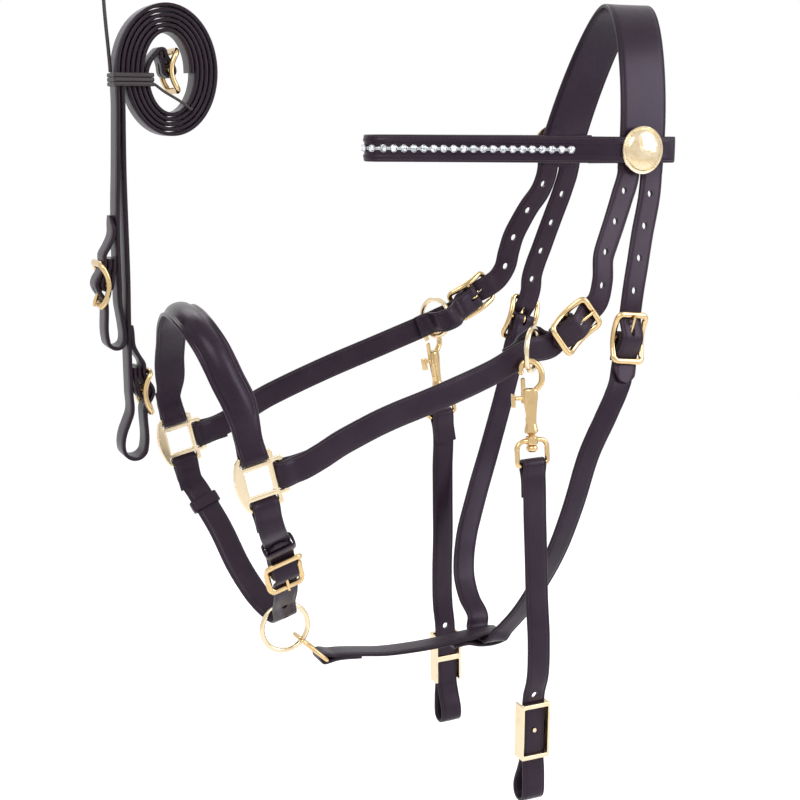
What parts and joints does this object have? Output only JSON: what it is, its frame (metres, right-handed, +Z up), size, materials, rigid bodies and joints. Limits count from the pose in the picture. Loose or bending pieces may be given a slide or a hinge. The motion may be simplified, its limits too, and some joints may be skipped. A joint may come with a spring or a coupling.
{
  "type": "halter bridle",
  "caption": "Leather halter bridle: headstall with browband, padded noseband, chin ring and throatlatch, bit hangers on trigger snaps, and buckled reins hung in a coil.",
  "frame": {"origin": "middle of the crown's underside, where it rests on the horse's poll", "axes": "+Z up, +X towards the horse's neck so the nose points to -X, -Y the near (left) side"},
  "size_m": [0.4514, 0.1961, 0.6214],
  "materials": {
    "leather": "smooth, dark, waxed",
    "brass": "polished",
    "crystal": "cut, clear",
    "cord": "matte"
  },
  "bodies": {
    "headstall": {"crown_strap": "leather", "browband": "leather", "crystal_strip": "crystal", "near_concho": "brass", "off_concho": "brass", "near_concho_screw": "brass", "off_concho_screw": "brass", "near_cheek_strap": "leather", "off_cheek_strap": "leather", "noseband": "leather", "near_square": "brass", "off_square": "brass", "near_chin_tab": "leather", "chin_strap": "leather", "near_chin_keeper": "leather", "off_chin_keeper": "leather", "chin_buckle": "brass", "jaw_strap": "leather", "throatlatch": "leather", "near_cheek_buckle": "brass", "off_cheek_buckle": "brass", "near_throat_buckle": "brass", "off_throat_buckle": "brass"},
    "chin_ring": {"chin_ring": "brass"},
    "jaw_dee": {"jaw_dee": "brass"},
    "chin_tongue": {"chin_tongue": "brass"},
    "reins": {"rein_a": "leather", "rein_b": "leather", "rein_a_chape": "leather", "rein_b_chape": "leather", "rein_a_buckle": "brass", "rein_b_buckle": "brass", "rein_centre_buckle": "brass", "rein_tie": "leather", "thong": "cord", "thong_knot": "cord"},
    "rein_a_tongue": {"rein_a_tongue": "brass"},
    "rein_b_tongue": {"rein_b_tongue": "brass"},
    "rein_centre_tongue": {"rein_centre_tongue": "brass"},
    "near_cheek_tongue": {"near_cheek_tongue": "brass"},
    "near_throat_tongue": {"near_throat_tongue": "brass"},
    "off_cheek_tongue": {"off_cheek_tongue": "brass"},
    "off_throat_tongue": {"off_throat_tongue": "brass"},
    "near_cheek_ring": {"near_cheek_ring": "brass"},
    "near_snap": {"near_snap_hook": "brass"},
    "near_snap_bolt": {"near_snap_bolt": "brass"},
    "near_swivel": {"near_swivel_dee": "brass"},
    "near_hanger": {"near_hanger_strap": "leather", "near_conway": "brass"},
    "off_cheek_ring": {"off_cheek_ring": "brass"},
    "off_snap": {"off_snap_hook": "brass"},
    "off_snap_bolt": {"off_snap_bolt": "brass"},
    "off_swivel": {"off_swivel_dee": "brass"},
    "off_hanger": {"off_hanger_strap": "leather", "off_conway": "brass"}
  },
  "joints": [
    {"name": "near_cheek_tongue_hinge", "type": "hinge", "parent": "headstall", "child": "near_cheek_tongue", "pos_m": [-0.08966, -0.07869, -0.23463], "axis": [0.6176, 0, -0.7865], "range_deg": [0, 10]},
    {"name": "near_throat_tongue_hinge", "type": "hinge", "parent": "headstall", "child": "near_throat_tongue", "pos_m": [-0.04151, -0.07869, -0.24662], "axis": [0.9942, 0, -0.1075], "range_deg": [0, 10]},
    {"name": "off_cheek_tongue_hinge", "type": "hinge", "parent": "headstall", "child": "off_cheek_tongue", "pos_m": [-0.0901, 0.07869, -0.23056], "axis": [-0.5114, 0, 0.8593], "range_deg": [0, 10]},
    {"name": "off_throat_tongue_hinge", "type": "hinge", "parent": "headstall", "child": "off_throat_tongue", "pos_m": [-0.04223, 0.07869, -0.25261], "axis": [-0.9542, 0, 0.2992], "range_deg": [0, 10]},
    {"name": "chin_tongue_hinge", "type": "hinge", "parent": "headstall", "child": "chin_tongue", "pos_m": [-0.31165, -0.05208, -0.40113], "axis": [-0.9575, 0, -0.2884], "range_deg": [0, 10]},
    {"name": "chin_ring_turn", "type": "hinge", "parent": "headstall", "child": "chin_ring", "pos_m": [-0.2919, 0, -0.4649], "axis": [0, 0, 1], "range_deg": [-8, 16]},
    {"name": "jaw_dee_hinge", "type": "hinge", "parent": "headstall", "child": "jaw_dee", "pos_m": [-0.26195, 0, -0.49283], "axis": [0, 1, 0], "range_deg": [-5, 5]},
    {"name": "reins_swing", "type": "hinge", "parent": "headstall", "child": "reins", "pos_m": [-0.4126, 0, 0.01], "axis": [1, 0, 0], "range_deg": [-45, 45]},
    {"name": "rein_a_tongue_hinge", "type": "hinge", "parent": "reins", "child": "rein_a_tongue", "pos_m": [-0.41949, 0, -0.1955], "axis": [0, 1, 0], "range_deg": [0, 10]},
    {"name": "rein_b_tongue_hinge", "type": "hinge", "parent": "reins", "child": "rein_b_tongue", "pos_m": [-0.39701, 0, -0.272], "axis": [0, -1, 0], "range_deg": [0, 10]},
    {"name": "rein_centre_tongue_hinge", "type": "hinge", "parent": "reins", "child": "rein_centre_tongue", "pos_m": [-0.37112, 0, -0.052], "axis": [0, -1, 0], "range_deg": [0, 45]},
    {"name": "near_ring_swing", "type": "hinge", "parent": "headstall", "child": "near_cheek_ring", "pos_m": [-0.1255, -0.0804, -0.2498], "axis": [0.9182, 0.0313, 0.3949], "range_deg": [-14, 6]},
    {"name": "near_snap_swing", "type": "hinge", "parent": "near_cheek_ring", "child": "near_snap", "pos_m": [-0.13107, -0.08578, -0.26322], "axis": [0, 1, 0], "range_deg": [-10, 30]},
    {"name": "near_bolt_slide", "type": "slide", "parent": "near_snap", "child": "near_snap_bolt", "axis": [0.0222, -0.0735, -0.997], "range_m": [0, 0.009], "stiffness_N_per_m": 150},
    {"name": "near_swivel_turn", "type": "hinge", "parent": "near_snap", "child": "near_swivel", "pos_m": [-0.12991, -0.08964, -0.31557], "axis": [-0.0222, 0.0735, 0.997], "continuous": true},
    {"name": "near_hanger_fold", "type": "hinge", "parent": "near_swivel", "child": "near_hanger", "pos_m": [-0.12951, -0.09096, -0.33352], "axis": [0.9998, 0, 0.0222], "range_deg": [-90, 20]},
    {"name": "off_ring_swing", "type": "hinge", "parent": "headstall", "child": "off_cheek_ring", "pos_m": [-0.123, 0.084, -0.247], "axis": [0.9415, -0.0466, 0.3337], "range_deg": [-6, 16]},
    {"name": "off_snap_swing", "type": "hinge", "parent": "off_cheek_ring", "child": "off_snap", "pos_m": [-0.12481, 0.08898, -0.26157], "axis": [0, 1, 0], "range_deg": [-30, 30]},
    {"name": "off_bolt_slide", "type": "slide", "parent": "off_snap", "child": "off_snap_bolt", "axis": [0.1503, 0.0002, -0.9886], "range_m": [0, 0.009], "stiffness_N_per_m": 150},
    {"name": "off_swivel_turn", "type": "hinge", "parent": "off_snap", "child": "off_swivel", "pos_m": [-0.11685, 0.08899, -0.31396], "axis": [-0.1503, -0.0002, 0.9886], "continuous": true},
    {"name": "off_hanger_fold", "type": "hinge", "parent": "off_swivel", "child": "off_hanger", "pos_m": [-0.11414, 0.089, -0.33176], "axis": [-0.9886, 0, -0.1503], "range_deg": [-90, 14]}
  ]
}
